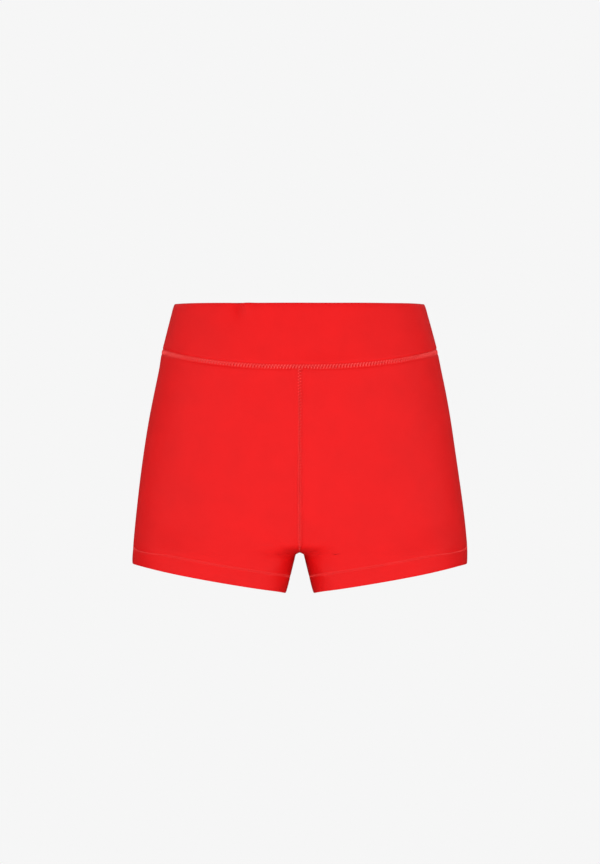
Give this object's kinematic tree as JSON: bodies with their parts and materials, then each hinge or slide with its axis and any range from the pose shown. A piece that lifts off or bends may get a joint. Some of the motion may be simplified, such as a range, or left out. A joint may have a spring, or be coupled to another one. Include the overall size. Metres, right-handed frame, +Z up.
{
  "type": "boxing shorts",
  "caption": "Close-fitting stretch boxing shorts with a deep waistband, flat seams and stitched hems, in the shape they take when worn.",
  "frame": {"origin": "middle of the waist opening, on the level of its edge at the sides", "axes": "+X to the wearer's left, +Y to the back, +Z up out of the waist opening; the front faces -Y"},
  "size_m": [0.3482, 0.2249, 0.3035],
  "materials": {
    "red_jersey": "satin",
    "red_thread": "satin",
    "white_elastic": "matte",
    "white_satin": "satin"
  },
  "bodies": {
    "root": {"left_leg_panel": "red_jersey", "right_leg_panel": "red_jersey", "waistband": "red_jersey", "waistband_elastic": "white_elastic", "care_label": "white_satin", "waistband_join_thread": "red_thread", "waist_seam_cover_thread": "red_thread", "waist_seam_looper_thread": "red_thread", "centre_seam_cover_thread": "red_thread", "centre_seam_looper_thread": "red_thread", "left_inseam_cover_thread": "red_thread", "left_inseam_looper_thread": "red_thread", "left_hem_cover_thread": "red_thread", "left_hem_looper_thread": "red_thread", "right_inseam_cover_thread": "red_thread", "right_inseam_looper_thread": "red_thread", "right_hem_cover_thread": "red_thread", "right_hem_looper_thread": "red_thread"}
  },
  "joints": []
}
